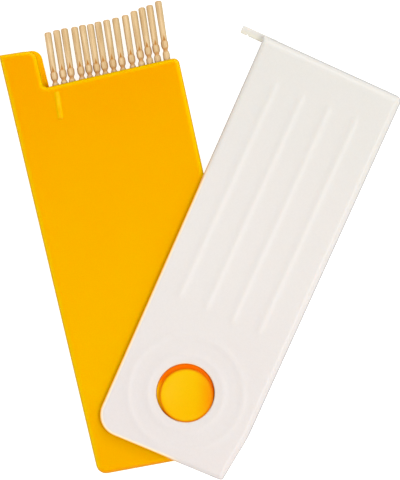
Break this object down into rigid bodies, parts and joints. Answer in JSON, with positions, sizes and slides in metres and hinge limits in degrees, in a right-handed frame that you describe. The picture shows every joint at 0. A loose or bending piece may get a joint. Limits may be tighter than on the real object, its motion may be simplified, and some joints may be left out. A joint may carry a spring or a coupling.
{
  "type": "toothpick dispenser",
  "caption": "Flat pocket toothpick dispenser: a two-shell case for one row of turned picks, with a ribbed cover that swivels on a stud and latches in a tab by the mouth, shown open.",
  "frame": {"origin": "point of the flat back face under the cover's swivel axis", "axes": "+X across the case away from its tab, +Y up the case from foot to mouth, +Z out of the front; it lies on its back"},
  "size_m": [0.0919, 0.1159, 0.0066],
  "materials": {
    "case_plastic": "soft gloss, moulded",
    "stud_plastic": "gloss, moulded",
    "cover_plastic": "soft gloss, slightly milky",
    "pick_wood": "turned birch, unfinished"
  },
  "bodies": {
    "case": {"case_front_shell": "case_plastic", "case_back_shell": "case_plastic", "pivot_stud": "stud_plastic"},
    "cover": {"swivel_cover": "cover_plastic"},
    "pick_01": {"toothpick_01": "pick_wood"},
    "pick_02": {"toothpick_02": "pick_wood"},
    "pick_03": {"toothpick_03": "pick_wood"},
    "pick_04": {"toothpick_04": "pick_wood"},
    "pick_05": {"toothpick_05": "pick_wood"},
    "pick_06": {"toothpick_06": "pick_wood"},
    "pick_07": {"toothpick_07": "pick_wood"},
    "pick_08": {"toothpick_08": "pick_wood"},
    "pick_09": {"toothpick_09": "pick_wood"},
    "pick_10": {"toothpick_10": "pick_wood"},
    "pick_11": {"toothpick_11": "pick_wood"},
    "pick_12": {"toothpick_12": "pick_wood"},
    "pick_13": {"toothpick_13": "pick_wood"},
    "pick_14": {"toothpick_14": "pick_wood"}
  },
  "joints": [
    {"name": "cover_swivel", "type": "hinge", "parent": "case", "child": "cover", "pos_m": [0, 0, 0.00575], "axis": [0, 0, 1], "range_deg": [-8, 37.35]},
    {"name": "pick_01_slide", "type": "slide", "parent": "case", "child": "pick_01", "axis": [0.0715, 0.9974, 0], "range_m": [-0.02505, 0.0054]},
    {"name": "pick_02_slide", "type": "slide", "parent": "case", "child": "pick_02", "axis": [0.0715, 0.9974, 0], "range_m": [-0.02505, 0.0054]},
    {"name": "pick_03_slide", "type": "slide", "parent": "case", "child": "pick_03", "axis": [0.0715, 0.9974, 0], "range_m": [-0.02505, 0.0054]},
    {"name": "pick_04_slide", "type": "slide", "parent": "case", "child": "pick_04", "axis": [0.0715, 0.9974, 0], "range_m": [-0.02505, 0.0054]},
    {"name": "pick_05_slide", "type": "slide", "parent": "case", "child": "pick_05", "axis": [0.0715, 0.9974, 0], "range_m": [-0.02505, 0.0054]},
    {"name": "pick_06_slide", "type": "slide", "parent": "case", "child": "pick_06", "axis": [0.0715, 0.9974, 0], "range_m": [-0.02505, 0.0054]},
    {"name": "pick_07_slide", "type": "slide", "parent": "case", "child": "pick_07", "axis": [0.0715, 0.9974, 0], "range_m": [-0.02505, 0.0054]},
    {"name": "pick_08_slide", "type": "slide", "parent": "case", "child": "pick_08", "axis": [0.0715, 0.9974, 0], "range_m": [-0.02505, 0.0054]},
    {"name": "pick_09_slide", "type": "slide", "parent": "case", "child": "pick_09", "axis": [0.0715, 0.9974, 0], "range_m": [-0.02505, 0.0054]},
    {"name": "pick_10_slide", "type": "slide", "parent": "case", "child": "pick_10", "axis": [0.0715, 0.9974, 0], "range_m": [-0.02505, 0.0054]},
    {"name": "pick_11_slide", "type": "slide", "parent": "case", "child": "pick_11", "axis": [0.0715, 0.9974, 0], "range_m": [-0.02505, 0.0054]},
    {"name": "pick_12_slide", "type": "slide", "parent": "case", "child": "pick_12", "axis": [0.0715, 0.9974, 0], "range_m": [-0.02505, 0.0054]},
    {"name": "pick_13_slide", "type": "slide", "parent": "case", "child": "pick_13", "axis": [0.0715, 0.9974, 0], "range_m": [-0.02505, 0.0054]},
    {"name": "pick_14_slide", "type": "slide", "parent": "case", "child": "pick_14", "axis": [0.0715, 0.9974, 0], "range_m": [-0.02505, 0.0054]}
  ],
  "couplings": [
    {"joint": "pick_01_slide", "follows": "cover_swivel", "m_per_rad": -0.0383},
    {"joint": "pick_02_slide", "follows": "cover_swivel", "m_per_rad": -0.0383},
    {"joint": "pick_03_slide", "follows": "cover_swivel", "m_per_rad": -0.0383},
    {"joint": "pick_04_slide", "follows": "cover_swivel", "m_per_rad": -0.0383},
    {"joint": "pick_05_slide", "follows": "cover_swivel", "m_per_rad": -0.0383},
    {"joint": "pick_06_slide", "follows": "cover_swivel", "m_per_rad": -0.0383},
    {"joint": "pick_07_slide", "follows": "cover_swivel", "m_per_rad": -0.0383},
    {"joint": "pick_08_slide", "follows": "cover_swivel", "m_per_rad": -0.0383},
    {"joint": "pick_09_slide", "follows": "cover_swivel", "m_per_rad": -0.0383},
    {"joint": "pick_10_slide", "follows": "cover_swivel", "m_per_rad": -0.0383},
    {"joint": "pick_11_slide", "follows": "cover_swivel", "m_per_rad": -0.0383},
    {"joint": "pick_12_slide", "follows": "cover_swivel", "m_per_rad": -0.0383},
    {"joint": "pick_13_slide", "follows": "cover_swivel", "m_per_rad": -0.0383},
    {"joint": "pick_14_slide", "follows": "cover_swivel", "m_per_rad": -0.0383}
  ]
}
